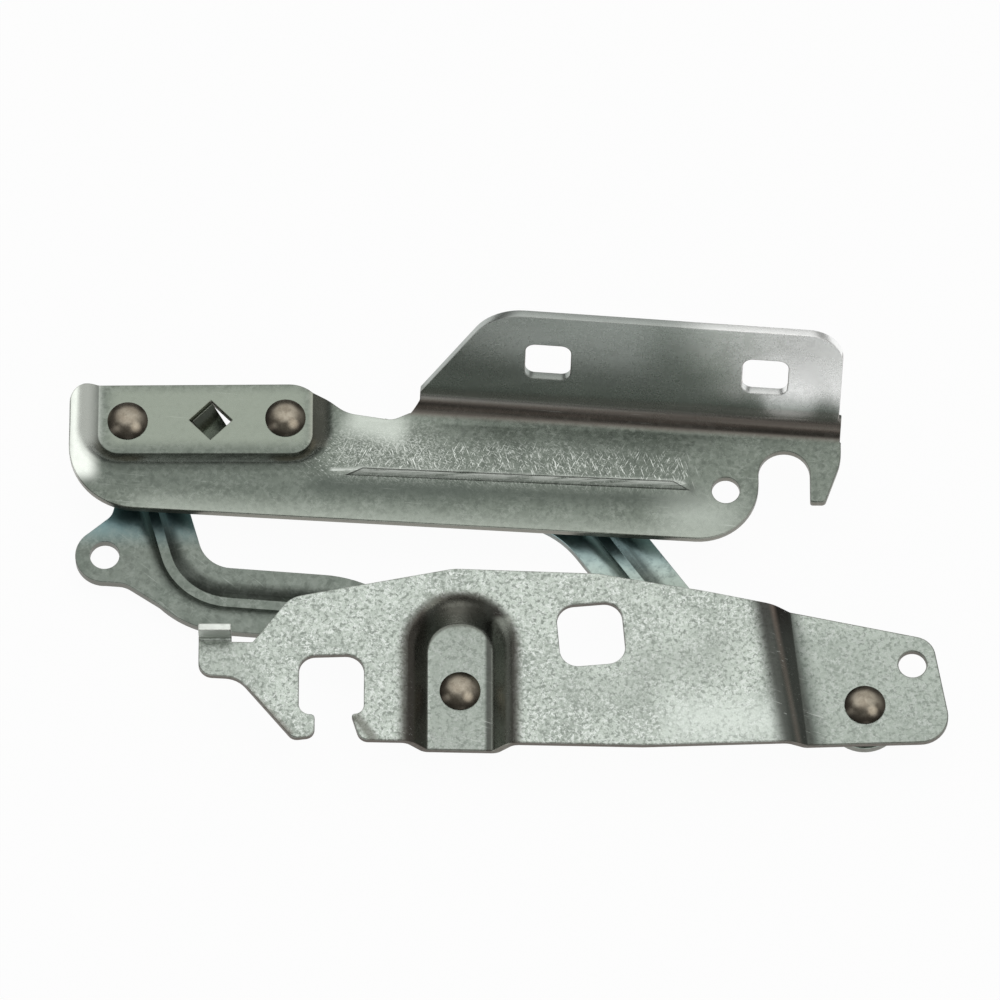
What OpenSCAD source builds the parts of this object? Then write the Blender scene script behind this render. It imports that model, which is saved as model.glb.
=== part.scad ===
// Bonnet hinge: two pressed brackets joined by two beaded links on four riveted pivots
// Origin: centre of the square body bolt hole, on the face that lies against the body
// X runs along the hinge, Y from the body to the bonnet, Z out of the plates, all in millimetres

/* [Parts] */
// Part to draw, or all of them

/* [Sheet] */
// Thickness of the lower bracket
lower_t = 2.5; // [1.5:0.1:3.5]
// Thickness of the upper bracket
upper_t = 3; // [2:0.1:4]
// Thickness of both links
link_t = 3.5; // [2.5:0.1:4.5]

/* [Pivots] */
// Upper left pivot, along the hinge
upper_left_x = -146.5; // [-148:0.1:-145]
// Upper left pivot, towards the bonnet
upper_left_y = 76.5; // [75:0.1:78]
// Upper right pivot, along the hinge
upper_right_x = -96.5; // [-98:0.1:-95]
// Upper right pivot, towards the bonnet
upper_right_y = 77.5; // [76:0.1:79]
// Lower left pivot, along the hinge
lower_left_x = -41; // [-42:0.1:-40]
// Lower left pivot, towards the bonnet
lower_left_y = -16.5; // [-18:0.1:-15]
// Lower right pivot, along the hinge
lower_right_x = 85.5; // [84:0.1:87]
// Lower right pivot, towards the bonnet
lower_right_y = -22.5; // [-24:0.1:-21]

/* [Lower bracket] */
// Depth of the U-shaped recess
recess_depth = 7; // [5:0.1:9]
// Half width of the floor of the U-shaped recess
recess_floor = 9.8; // [8.5:0.1:11]
// Height of the centre of the round end of the recess
recess_y = -3.5; // [-5:0.1:-2]
// Slope of the walls of the recess
recess_slope = 53.1301; // [45:0.0001:60]
// Depth of the stepped end
step_depth = 4; // [2.5:0.1:5.5]
// Slope of the step
step_slope = 36.8699; // [30:0.0001:45]
// Start of the step along the hinge
step_x = 57.2; // [54:0.1:60]
// Lean of the step line
step_lean = 6.2; // [0:0.1:9]
// Soft radius at the top of the recess walls
recess_shoulder_r = 6; // [4.5:0.1:7.5]
// Soft radius at the top of the step
step_shoulder_r = 7; // [5:0.1:8]
// Tight radius at the foot of every pressed wall
foot_r = 1; // [0.5:0.1:1.5]
// Width of the square body bolt hole
body_hole_w = 20.5; // [18:0.1:22]
// Height of the square body bolt hole
body_hole_h = 21; // [18:0.1:22]
// Corner radius of the square body bolt hole
body_hole_r = 5.7; // [3:0.1:7]
// Turn of the square body bolt hole
body_hole_turn = 5; // [0:0.5:8]
// Diameter of the locating holes in both brackets
locate_d = 8.8; // [7:0.1:10]
// Length of the bent tab
tab_len = 6.5; // [4:0.1:9]
// Inner bend radius of the tab
tab_bend_r = 1; // [0.5:0.1:2]

/* [Upper bracket] */
// Front face of the upper plate below the body face
upper_drop = 2; // [1:0.1:3]
// Slope of the walls of the pivot pad
pad_slope = 36.8699; // [32:0.0001:42]
// Soft radius at the top of the pad walls
pad_shoulder_r = 8; // [6:0.1:9]
// Pad floor to the left of the upper left pivot
pad_left_margin = 9; // [8.7:0.1:11]
// Pad floor to the right of the upper right pivot
pad_right_margin = 8.3; // [8:0.1:11]
// Pad floor below the upper left pivot
pad_low_margin = 10.9; // [10:0.1:13]
// Plate to the left of the pad floor
plate_left_margin = 9.3; // [9:0.1:14]
// Plate above the upper left pivot
plate_top_margin = 12.5; // [11:0.1:14]
// Lanced tongue to the right of the middle of the pad
tongue_shift = 1.3; // [0:0.1:2]
// Corner radius of the pad floor
pad_corner = 6.5; // [5:0.1:8]
// Side of the lanced tongue
tongue_side = 9.6; // [8:0.1:11]
// Gap on each side of the lanced tongue
tongue_gap = 0.4; // [0.2:0.1:0.8]
// Bend of the lanced tongue
tongue_bend = 48; // [30:1:55]
// Height of the stiffening ridge
ridge_h = 1.8; // [0.8:0.1:2.4]
// Bend of the bonnet flange out of the plate
flange_bend = 69.3903; // [60:0.0001:80]
// Inner radius of the flange bend
flange_bend_r = 6; // [4:0.1:8]
// Straight length of the flange
flange_len = 36.2; // [32:0.1:40]
// Width of the square bonnet bolt holes
bonnet_hole_w = 14.4; // [12:0.1:16]
// Corner radius of the bonnet bolt holes
bonnet_hole_r = 3.2; // [2:0.1:5]
// Height of the bonnet bolt holes on the flange
bonnet_hole_v = 16.9; // [14:0.1:20]
// First bonnet bolt hole along the bend
bonnet_hole_first = 43; // [40:0.1:46]
// Distance between the bonnet bolt holes
bonnet_hole_gap = 68.6; // [65:0.1:72]

/* [Links] */
// Half width of both links
link_half = 11; // [10:0.1:12]
// Depth of the pressed bead
bead_depth = 2; // [1.8:0.1:2.4]
// Half width of the flat bottom of the bead
bead_floor = 1.4; // [1:0.1:2]
// Slope of the bead walls
bead_slope = 36.8699; // [34:0.0001:42]
// Soft radius at the rims of the bead
bead_shoulder_r = 8; // [6:0.1:9]
// Tight radius at the bottom of the bead
bead_foot_r = 0.5; // [0.2:0.1:1]
// Distance from a pivot to the end of the bead
bead_start = 24; // [22:0.5:27]
// Radius of the link ends
boss_r = 12; // [11:0.1:13]
// Radius of the slotted link end
slot_boss_r = 13.3; // [12.8:0.1:14]
// Half travel of the slotted link end along the slot
slot_travel = 3.25; // [3.2:0.05:3.6]
// Direction of the slot
slot_turn = 70.8; // [65:0.1:75]
// Sideways shift of the slot
slot_shift = 0.63; // [0.5:0.01:0.8]
// Clearance of the slot round its bush
slot_gap = 0.35; // [0.3:0.05:0.6]
// Diameter of the hole in the ear of the short link
ear_hole_d = 9.3; // [8:0.1:10]
// Radius of the ear of the short link
ear_r = 9.3; // [8.5:0.1:10]

/* [Pivot stack] */
// Radius of the rivet neck in the bracket
neck_r = 4; // [3.5:0.1:4.2]
// Radius of the rivet shoulder
shoulder_pin_r = 4.5; // [4.3:0.1:4.8]
// Wall of the bushes
bush_wall = 0.95; // [0.8:0.05:1.1]
// Radial running clearance of the pivots
running_gap = 0.05; // [0.02:0.01:0.1]
// End float between links and washers
float_gap = 0.1; // [0.05:0.01:0.2]
// Thickness of the thrust washers
washer_t = 0.8; // [0.6:0.1:1.2]
// Outer radius of the spacers
spacer_r = 8.5; // [7.5:0.1:9]
// Outer radius of the washers behind the links
washer_r = 10; // [9:0.1:11]
// Radius of the formed rivet head
dome_r = 6.4; // [5.8:0.1:7]
// Height of the formed rivet head
dome_h = 2.4; // [1.8:0.1:3]
// Radius of the flat rivet head
flat_head_r = 8; // [7:0.1:9]
// Thickness of the flat rivet head
flat_head_t = 2.5; // [2:0.1:3]

/* [Hidden] */
// Radius about a turning axis that is filled by a plain disc
hub = 0.5;
$fn = 64;
far = 400;
lap = 1.5;

upper_left = [upper_left_x, upper_left_y];
upper_right = [upper_right_x, upper_right_y];
lower_left = [lower_left_x, lower_left_y];
lower_right = [lower_right_x, lower_right_y];

// Heights of the faces that the pivots stack on
recess_back = -recess_depth - lower_t;
step_back = -step_depth - lower_t;
link_front = recess_back - washer_t - float_gap;
link_back = link_front - link_t;
washer_front = link_back - float_gap;
head_front = washer_front - washer_t;
pad_back = recess_back;
pad_front = pad_back + upper_t;
pad_depth = -upper_drop - pad_front;
pad_left = upper_left_x - pad_left_margin;
pad_right = upper_right_x + pad_right_margin;
pad_low = upper_left_y - pad_low_margin;
plate_left = pad_left - plate_left_margin;
plate_top = upper_left_y + plate_top_margin;
bush_r = shoulder_pin_r + running_gap + bush_wall;

// Corners of the lower bracket: x, y and corner radius
lower_corners = [
    [-122.8, -2.7, 0], [-122.8, -13.9, 4.5], [-110.5, -14.6, 9], [-93.2, -35.4, 3.2],
    [-86.3, -34.6, 3], [-86.3, -27.2, 1.3], [-91.3, -27.2, 3.6], [-91.3, -7.4, 5.2],
    [-71, -6.8, 5.8], [-71, -26.9, 2.9], [-75, -27.1, 0.9], [-72.2, -35.9, 3.6],
    [16, -37.7, 0], [113.2, -34.8, 9], [107, -0.2, 7], [36, 14.8, 0],
    [2, 20.8, 12], [-43, 22.5, 14], [-94.2, 12.7, 9], [-105.9, -2.7, 1.2]];
tab_left = -122.8;
tab_width = 10.3;
tab_root = -2.7;
lower_locate = [100.6, -8.6];
step_y = -13;

// Corners of the upper bracket below the flange bend
bend_left = [-57.2, 77.3];
bend_turn = -4.349527;
bend_len = 136.5;
upper_corners = [
    [plate_left, pad_low - 20, 22], [53.1, 32.5, 19], [53.1, 63.9, 8.05], [69.3, 63.9, 8.05],
    [69.3, 46.2, 0.8], [74, 46.2, 1.5], [79.2, 60.5, 18], [79.2, 90, 0],
    [2 * bend_left[0] + 62.5, 2 * bend_left[1] - 74.9, 0], [-62.5, 74.9, 6],
    [pad_right + 10.6, plate_top - 11.6, 12], [pad_right - 3, plate_top + 0.5, 11],
    [plate_left, plate_top, 8]];
upper_locate = [42.7, 50.4];
bend_inset = 0.4;
flange_lead = 3;
flange_corners = [
    [flange_lead, 0, 0], [bend_len - 0.8, 0, 0], [bend_len - 0.8, flange_len, 11], [25, flange_len, 18]];

// Lanced tongue and stiffening ridge
tongue_mid = [(upper_left_x + upper_right_x) / 2 + tongue_shift, (upper_left_y + upper_right_y) / 2 - 0.1];
ridge_left = [-85.8, 57.3];
ridge_turn = -2.7;
ridge_from = 9;
ridge_to = 117;
ridge_ramp = 5;
ridge_foot = -1.3;
ridge_top = 0.7;
ridge_fade = 17.5;

// Links: outer legs of the centre line, its two turns and the radii of the turns
short_legs = [61.3, 44.9];
short_turns = [69.390307, -36.869898];
short_radii = [22, 30];
long_legs = [97.3, 49.4];
long_turns = [-36.869898, 36.869898];
long_radii = [40, 45];
long_relief = [-70, 105];
long_relief_r = 26.2;
ear_seat = [41.2, -18.8];
ear_corners = [
    [26.8, -8.8, 0], [24, -10.4, 0], [28.6, -13.1, 5], [33, -23.1, 0],
    [41.2, -18.8, 0], [50.2, -21.1, 0], [52.4, -15.2, 7], [63.2, -6, 0],
    [56.1, -7.3, 0], [46, -8.9, 0]];

// Angle of the line from one point to the next
function heading(a, b) = atan2(b[1] - a[1], b[0] - a[0]);
// Angle turned at the middle one of three points
function turned(a, b, c) =
    let (d = heading(b, c) - heading(a, b))
    d > 180 ? d - 360 : d < -180 ? d + 360 : d;
// Length lost on each side of a corner that is rounded
function cut_back(a, b, c, r) = r * tan(abs(turned(a, b, c)) / 2);
// Point at a distance along an angle
function along(p, angle, d) = [p[0] + d * cos(angle), p[1] + d * sin(angle)];
// Centre of the arc that rounds a corner
function arc_mid(a, b, c, r) =
    along(along(b, heading(b, a), cut_back(a, b, c, r)),
          heading(a, b) + (turned(a, b, c) > 0 ? 90 : -90), r);
// Straight run of a wall that drops by h between its two radii
function wall_run(h, ro, ri, a) = (h - (ro + ri) * (1 - cos(a))) / sin(a);
// Width of that wall
function wall_width(h, ro, ri, a) = (ro + ri) * sin(a) + wall_run(h, ro, ri, a) * cos(a);

// End of the two outer legs of a link, seen from its first pivot
function legs_end(legs, turns) =
    [legs[0] + legs[1] * cos(turns[0] + turns[1]), legs[1] * sin(turns[0] + turns[1])];
// Length between the two turns of a link that reaches from pivot to pivot
function link_between(start, finish, legs, turns) =
    let (side = [cos(turns[0]), sin(turns[0])], ends = legs_end(legs, turns), reach = finish - start)
    sqrt(pow(ends * side, 2) - ends * ends + reach * reach) - ends * side;
// Angle of the first leg of that link
function link_aim(start, finish, legs, turns) =
    let (side = [cos(turns[0]), sin(turns[0])])
    heading(start, finish)
        - heading([0, 0], legs_end(legs, turns) + link_between(start, finish, legs, turns) * side);

recess_wall = wall_width(recess_depth, recess_shoulder_r, foot_r, recess_slope);
step_wall = wall_width(step_depth, step_shoulder_r, foot_r, step_slope);
pad_wall = wall_width(pad_depth, pad_shoulder_r, foot_r, pad_slope);
bead_wall = wall_width(bead_depth, bead_shoulder_r, bead_foot_r, bead_slope);
bead_half = bead_floor + bead_wall;

// Closed outline with true arcs at its corners
module rounded(pts) {
    n = len(pts);
    before = [for (i = [0 : n - 1]) pts[(i + n - 1) % n]];
    after = [for (i = [0 : n - 1]) pts[(i + 1) % n]];
    back = [for (i = [0 : n - 1]) cut_back(before[i], pts[i], after[i], pts[i][2])];
    first = [for (i = [0 : n - 1]) along(pts[i], heading(pts[i], before[i]), back[i])];
    last = [for (i = [0 : n - 1]) along(pts[i], heading(pts[i], after[i]), back[i])];
    convex = [for (i = [0 : n - 1]) turned(before[i], pts[i], after[i]) > 0];
    core = [for (i = [0 : n - 1])
        each (pts[i][2] == 0 ? [[pts[i][0], pts[i][1]]]
            : convex[i] ? [first[i], last[i]] : [first[i], [pts[i][0], pts[i][1]], last[i]])];
    union() {
        polygon(core);
        for (i = [0 : n - 1]) {
            if (pts[i][2] > 0 && convex[i]) {
                intersection() {
                    polygon([first[i], [pts[i][0], pts[i][1]], last[i]]);
                    translate(arc_mid(before[i], pts[i], after[i], pts[i][2])) circle(pts[i][2]);
                }
            }
            if (pts[i][2] > 0 && !convex[i]) {
                difference() {
                    polygon([last[i], [pts[i][0], pts[i][1]], first[i]]);
                    translate(arc_mid(before[i], pts[i], after[i], pts[i][2])) circle(pts[i][2]);
                }
            }
        }
    }
}

// Square with round corners, about its centre
module rounded_square(w, h, r) {
    union() {
        square([w, h - 2 * r], center = true);
        square([w - 2 * r, h], center = true);
        for (x = [-1, 1], y = [-1, 1]) {
            translate([x * (w / 2 - r), y * (h / 2 - r)]) circle(r);
        }
    }
}

// Slice of a ring between two angles under 90 degrees apart
module ring_slice(inner, outer, from, to) {
    reach = 2 * outer;
    intersection() {
        difference() {
            circle(outer);
            circle(inner);
        }
        polygon([[0, 0], [reach * cos(from), reach * sin(from)], [reach * cos(to), reach * sin(to)]]);
    }
}

// Section of a pressed wall: some plate, the wall from x = 0, then some floor
module wall_section(h, t, ro, ri, a, plate, floor) {
    run = wall_run(h, ro, ri, a);
    top = [ro * sin(a), -ro * (1 - cos(a))];
    foot = [top[0] + run * cos(a), top[1] - run * sin(a)];
    union() {
        translate([-plate, -t]) square([plate, t]);
        translate([0, -ro]) ring_slice(ro - t, ro, 90 - a, 90);
        polygon([top, [top[0] - t * sin(a), top[1] - t * cos(a)],
                 [foot[0] - t * sin(a), foot[1] - t * cos(a)], foot]);
        translate([foot[0] + ri * sin(a), foot[1] + ri * cos(a)])
            ring_slice(ri, ri + t, 270 - a, 270);
        translate([wall_width(h, ro, ri, a), -h - t]) square([floor, t]);
    }
}

// Section swept in a straight line along x, its own x to the left of travel
module sweep_line(length) {
    rotate([90, 0, 90]) linear_extrude(length) children();
}

// Section swept round a corner that starts along x and turns left or right
module sweep_corner(r, angle) {
    side = angle > 0 ? 1 : -1;
    intersection() {
        translate([0, side * r, 0]) rotate_extrude()
            translate([r, 0]) mirror([side > 0 ? 1 : 0, 0]) children();
        translate([0, -far, -far]) cube([far, 2 * far, 2 * far]);
        after_corner(r, angle) translate([-far, -far, -far]) cube([far, 2 * far, 2 * far]);
    }
}

// Frame at the end of a rounded corner
module after_corner(r, angle) {
    side = angle > 0 ? 1 : -1;
    translate([0, side * r, 0]) rotate([0, 0, angle]) translate([0, -side * r, 0]) children();
}

// Lower bracket: plate, U-shaped recess, stepped end and tab
module lower_bracket() {
    recess_edge = recess_floor + recess_wall;
    color([0.66, 0.68, 0.67])
    union() {
        difference() {
            intersection() {
                translate([0, 0, recess_back - 1]) linear_extrude(recess_depth + lower_t + 2)
                    rounded(lower_corners);
                union() {
                    translate([0, 0, -lower_t]) linear_extrude(lower_t) difference() {
                        translate([-far, -far]) square(2 * far);
                        translate([lower_left_x, recess_y]) circle(recess_edge);
                        translate([lower_left_x - recess_edge, recess_y - far]) square([2 * recess_edge, far]);
                        translate([step_x, step_y]) rotate(step_lean) translate([0, -far]) square(2 * far);
                    }
                    translate([lower_left_x, recess_y, 0]) rotate_extrude(angle = 180)
                        translate([recess_edge, 0]) mirror([1, 0]) recess_section(recess_floor - hub);
                    translate([lower_left_x, recess_y, recess_back])
                        cylinder(r = 2 * hub, h = lower_t);
                    translate([lower_left_x, recess_y, 0]) rotate([90, 0, 0]) linear_extrude(60) {
                        translate([recess_edge, 0]) mirror([1, 0]) recess_section(recess_floor);
                        translate([-recess_edge, 0]) recess_section(recess_floor);
                    }
                    translate([step_x, step_y, 0]) rotate([0, 0, step_lean]) {
                        rotate([90, 0, 0]) linear_extrude(140, center = true)
                            wall_section(step_depth, lower_t, step_shoulder_r, foot_r, step_slope, lap, lap);
                        translate([step_wall, -70, step_back]) cube([far, 140, lower_t]);
                    }
                }
            }
            translate([0, 0, -lower_t - 1]) linear_extrude(lower_t + 2)
                rotate(body_hole_turn) rounded_square(body_hole_w, body_hole_h, body_hole_r);
            translate([lower_locate[0], lower_locate[1], step_back - 1])
                cylinder(h = lower_t + 2, d = locate_d);
            translate([lower_left_x, lower_left_y, recess_back - 1]) cylinder(h = lower_t + 2, r = neck_r);
            translate([lower_right_x, lower_right_y, step_back - 1]) cylinder(h = lower_t + 2, r = neck_r);
        }
        translate([tab_left, tab_root, tab_bend_r]) rotate([90, 0, 90]) linear_extrude(tab_width) {
            translate([-lap, -tab_bend_r - lower_t]) square([lap, lower_t]);
            intersection() {
                difference() {
                    circle(tab_bend_r + lower_t);
                    circle(tab_bend_r);
                }
                translate([0, -far]) square(far);
            }
            translate([tab_bend_r, 0]) square([lower_t, tab_len - tab_bend_r]);
        }
    }
}

// Section of the U-shaped recess from its edge to its middle
module recess_section(floor) {
    wall_section(recess_depth, lower_t, recess_shoulder_r, foot_r, recess_slope, lap, floor);
}

// Upper bracket: plate, recessed pivot pad, ridge, bent flange and hooked notch
module upper_bracket() {
    color([0.63, 0.66, 0.64])
    difference() {
        union() {
            intersection() {
                difference() {
                    translate([0, 0, pad_back - 1]) linear_extrude(pad_depth + upper_t + 2)
                        rounded(upper_corners);
                    translate([bend_left[0], bend_left[1], -far]) rotate([0, 0, bend_turn])
                        translate([-flange_lead, 0, 0]) cube([far, far, 2 * far]);
                }
                pad_and_plate();
            }
            ridge_block(-upper_drop - upper_t / 2, -upper_drop);
            bonnet_flange();
            tongue();
        }
        ridge_block(-upper_drop - 2 * upper_t, -upper_drop - upper_t);
        translate([upper_locate[0], upper_locate[1], -upper_drop - upper_t - 1])
            cylinder(h = upper_t + 2, d = locate_d);
        translate([upper_left_x, upper_left_y, pad_back - 1]) cylinder(h = upper_t + 2, r = neck_r);
        translate([upper_right_x, upper_right_y, pad_back - 1]) cylinder(h = upper_t + 2, r = neck_r);
    }
}

// Plate with the pivot pad, before it is cut to its outline
module pad_and_plate() {
    edge = pad_corner + pad_wall;
    left = pad_left + pad_corner;
    right = pad_right - pad_corner;
    low = pad_low + pad_corner;
    union() {
        translate([0, 0, -upper_drop - upper_t]) linear_extrude(upper_t) difference() {
            translate([-far, -far]) square(2 * far);
            translate([left, low]) circle(edge);
            translate([right, low]) circle(edge);
            translate([left, low - edge]) square([right - left, far]);
            translate([left - edge, low]) square([right - left + 2 * edge, far]);
        }
        translate([0, 0, pad_back]) linear_extrude(upper_t) difference() {
            union() {
                translate([left, pad_low]) square([right - left, 60]);
                translate([pad_left, low]) square([pad_right - pad_left, 60]);
            }
            translate(tongue_mid) rotate(45) square(tongue_side, center = true);
        }
        translate([left, low - edge, -upper_drop]) sweep_line(right - left) pad_wall_section(lap);
        translate([right + edge, low, -upper_drop]) rotate([0, 0, 90])
            sweep_line(60) pad_wall_section(lap);
        translate([left - edge, low + 60, -upper_drop]) rotate([0, 0, -90])
            sweep_line(60) pad_wall_section(lap);
        for (corner = [[left, 180], [right, 270]]) {
            translate([corner[0], low, -upper_drop]) rotate([0, 0, corner[1]]) rotate_extrude(angle = 90)
                translate([edge, 0]) mirror([1, 0]) pad_wall_section(pad_corner - hub);
            translate([corner[0], low, pad_back]) cylinder(r = 2 * hub, h = upper_t);
        }
    }
}

// Section of the wall round the pivot pad
module pad_wall_section(floor) {
    wall_section(pad_depth, upper_t, pad_shoulder_r, foot_r, pad_slope, lap, floor);
}

// Tongue lanced out of the pad and bent away behind it
module tongue() {
    translate([tongue_mid[0], tongue_mid[1], pad_back]) rotate([0, 0, -45])
        translate([-tongue_side / 2, 0, 0]) rotate([0, tongue_bend, 0])
            translate([-1.5, tongue_gap - tongue_side / 2, 0])
                cube([tongue_side, tongue_side - 2 * tongue_gap, upper_t]);
}

// Ridge pressed forward: steep below, fading out towards the flange
module ridge_block(base, level) {
    translate([ridge_left[0], ridge_left[1], 0]) rotate([0, 0, ridge_turn]) intersection() {
        translate([ridge_from, 0, 0]) rotate([90, 0, 90]) linear_extrude(ridge_to - ridge_from)
            polygon([[ridge_foot, base], [ridge_fade, base], [ridge_fade, level],
                     [ridge_top, level + ridge_h], [ridge_foot, level]]);
        rotate([90, 0, 0]) linear_extrude(4 * ridge_fade, center = true)
            polygon([[ridge_from, base], [ridge_to, base], [ridge_to, level],
                     [ridge_to - ridge_ramp, level + ridge_h], [ridge_from + ridge_ramp, level + ridge_h],
                     [ridge_from, level]]);
    }
}

// Bonnet flange: bend and flat with two square holes
module bonnet_flange() {
    bend_out = (flange_bend_r + upper_t) * sin(flange_bend);
    translate([bend_left[0], bend_left[1], -upper_drop + flange_bend_r]) rotate([0, 0, bend_turn]) {
        intersection() {
            sweep_line(bend_len) {
                translate([-lap, -flange_bend_r - upper_t]) square([lap, upper_t]);
                difference() {
                    circle(flange_bend_r + upper_t);
                    circle(flange_bend_r);
                    translate([-far, -far]) square([far, 2 * far]);
                }
            }
            rotate([flange_bend, 0, 0]) translate([-far, -far, -far]) cube([2 * far, far, 2 * far]);
            translate([0, 0, -far]) linear_extrude(2 * far)
                polygon([[bend_inset, -2 * lap], [bend_len, -2 * lap], [bend_len, 2 * bend_out],
                         [flange_lead, 2 * bend_out], [flange_lead, bend_out / 2], [bend_inset, 0]]);
        }
        rotate([flange_bend, 0, 0]) translate([0, 0, -flange_bend_r - upper_t])
            linear_extrude(upper_t) difference() {
                rounded(flange_corners);
                for (i = [0, 1]) {
                    translate([bonnet_hole_first + i * bonnet_hole_gap, bonnet_hole_v])
                        rounded_square(bonnet_hole_w, bonnet_hole_w, bonnet_hole_r);
                }
            }
    }
}

// Section of a link across both rims and the bead
module bead_section() {
    rim = link_half - bead_half;
    union() {
        translate([-bead_half, 0])
            wall_section(bead_depth, link_t, bead_shoulder_r, bead_foot_r, bead_slope, rim, bead_floor);
        mirror([1, 0]) translate([-bead_half, 0])
            wall_section(bead_depth, link_t, bead_shoulder_r, bead_foot_r, bead_slope, rim, bead_floor);
    }
}

// Flat end of a link with the round end of its bead, from the pivot along x
module link_end(boss) {
    translate([0, 0, -link_t]) linear_extrude(link_t) difference() {
        union() {
            circle(boss);
            translate([0, -link_half]) square([bead_start, 2 * link_half]);
        }
        translate([bead_start, 0]) circle(bead_half);
    }
    intersection() {
        translate([bead_start, 0, 0]) union() {
            rotate_extrude() translate([bead_half, 0]) mirror([1, 0])
                wall_section(bead_depth, link_t, bead_shoulder_r, bead_foot_r, bead_slope,
                             lap, bead_floor - hub);
            translate([0, 0, -bead_depth - link_t]) cylinder(r = 2 * hub, h = link_t);
        }
        translate([bead_start - far, -far, -far]) cube([far, 2 * far, 2 * far]);
    }
}

// Beaded strip from pivot to pivot; the length between its two turns follows from the pivots
module beaded_link(start, finish, legs, turns, radii, first_boss, last_boss) {
    cut = [radii[0] * tan(abs(turns[0]) / 2), radii[1] * tan(abs(turns[1]) / 2)];
    first = legs[0] - cut[0] - bead_start;
    middle = link_between(start, finish, legs, turns) - cut[0] - cut[1];
    last = legs[1] - cut[1] - bead_start;
    translate([start[0], start[1], 0]) rotate([0, 0, link_aim(start, finish, legs, turns)]) {
        link_end(first_boss);
        translate([bead_start, 0, 0]) {
            sweep_line(first) bead_section();
            translate([first, 0, 0]) {
                sweep_corner(radii[0], turns[0]) bead_section();
                after_corner(radii[0], turns[0]) {
                    sweep_line(middle) bead_section();
                    translate([middle, 0, 0]) {
                        sweep_corner(radii[1], turns[1]) bead_section();
                        after_corner(radii[1], turns[1]) {
                            sweep_line(last) bead_section();
                            translate([last + bead_start, 0, 0]) rotate([0, 0, 180]) link_end(last_boss);
                        }
                    }
                }
            }
        }
    }
}

// Short gooseneck link with an ear and a slotted upper end
module gooseneck_link() {
    aim = link_aim(upper_left, lower_left, short_legs, short_turns);
    slot_r = bush_r + slot_shift + slot_gap;
    color([0.52, 0.56, 0.55])
    translate([0, 0, link_front]) difference() {
        union() {
            beaded_link(upper_left, lower_left, short_legs, short_turns, short_radii, slot_boss_r, boss_r);
            translate([upper_left_x, upper_left_y, 0]) rotate([0, 0, aim])
                translate([0, 0, -link_t]) linear_extrude(link_t) {
                    translate(ear_seat) circle(ear_r);
                    rounded(ear_corners);
                }
        }
        translate([upper_left_x, upper_left_y, 0]) rotate([0, 0, aim])
            translate([ear_seat[0], ear_seat[1], -link_t - 1]) cylinder(h = link_t + 2, d = ear_hole_d);
        translate([lower_left_x, lower_left_y, -link_t - 1]) cylinder(h = link_t + 2, r = bush_r);
        translate([upper_left_x, upper_left_y, -link_t - 1]) linear_extrude(link_t + 2)
            rotate(slot_turn) translate([0, slot_shift]) {
                translate([slot_travel, 0]) circle(slot_r);
                translate([-slot_travel, 0]) circle(slot_r);
                square([2 * slot_travel, 2 * slot_r], center = true);
            }
    }
}

// Long link, with a relief in its upper edge behind the dip of the upper bracket
module long_link() {
    color([0.52, 0.56, 0.55])
    translate([0, 0, link_front]) difference() {
        beaded_link(upper_right, lower_right, long_legs, long_turns, long_radii, boss_r, boss_r);
        translate([lower_right_x, lower_right_y, -link_t - 1]) cylinder(h = link_t + 2, r = bush_r);
        translate([upper_right_x, upper_right_y, -link_t - 1]) cylinder(h = link_t + 2, r = bush_r);
        translate([long_relief[0], long_relief[1], -2 * link_t]) cylinder(h = 3 * link_t, r = long_relief_r);
    }
}

// Shoulder rivet: domed head on the bracket, flat head behind the link
module rivet(p, front, back) {
    cap = (dome_r * dome_r + dome_h * dome_h) / (2 * dome_h);
    color([0.5, 0.46, 0.42])
    translate([p[0], p[1], 0]) rotate_extrude() {
        intersection() {
            translate([0, front]) square([dome_r, dome_h]);
            translate([0, front + dome_h - cap]) circle(cap);
        }
        translate([0, back]) square([neck_r, front - back]);
        translate([0, head_front]) square([shoulder_pin_r, back - head_front]);
        translate([0, head_front - flat_head_t]) square([flat_head_r, flat_head_t]);
    }
}

// Ring between two heights
module ring(p, inner, outer, low, high) {
    translate([p[0], p[1], low]) difference() {
        cylinder(h = high - low, r = outer);
        translate([0, 0, -1]) cylinder(h = high - low + 2, r = inner);
    }
}

module lower_left_rivet() { rivet(lower_left, -recess_depth, recess_back); }
module lower_right_rivet() { rivet(lower_right, -step_depth, step_back); }
module upper_left_rivet() { rivet(upper_left, pad_front, pad_back); }
module upper_right_rivet() { rivet(upper_right, pad_front, pad_back); }

module bush(p, low, high) {
    color([0.62, 0.5, 0.32]) ring(p, shoulder_pin_r + running_gap, bush_r, low, high);
}
module lower_left_bush() { bush(lower_left, link_back, link_front); }
module lower_right_bush() { bush(lower_right, link_back, link_front); }
module upper_left_bush() { bush(upper_left, washer_front, link_front + float_gap); }
module upper_right_bush() { bush(upper_right, link_back, link_front); }

module spacer(p, high) {
    color([0.45, 0.46, 0.47]) ring(p, shoulder_pin_r + running_gap, spacer_r, link_front + float_gap, high);
}
module lower_left_spacer() { spacer(lower_left, recess_back); }
module lower_right_spacer() { spacer(lower_right, step_back); }
module upper_left_spacer() { spacer(upper_left, pad_back); }
module upper_right_spacer() { spacer(upper_right, pad_back); }

module washer(p) {
    color([0.45, 0.46, 0.47]) ring(p, shoulder_pin_r + running_gap, washer_r, head_front, washer_front);
}
module lower_left_washer() { washer(lower_left); }
module lower_right_washer() { washer(lower_right); }
module upper_left_washer() { washer(upper_left); }
module upper_right_washer() { washer(upper_right); }

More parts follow.
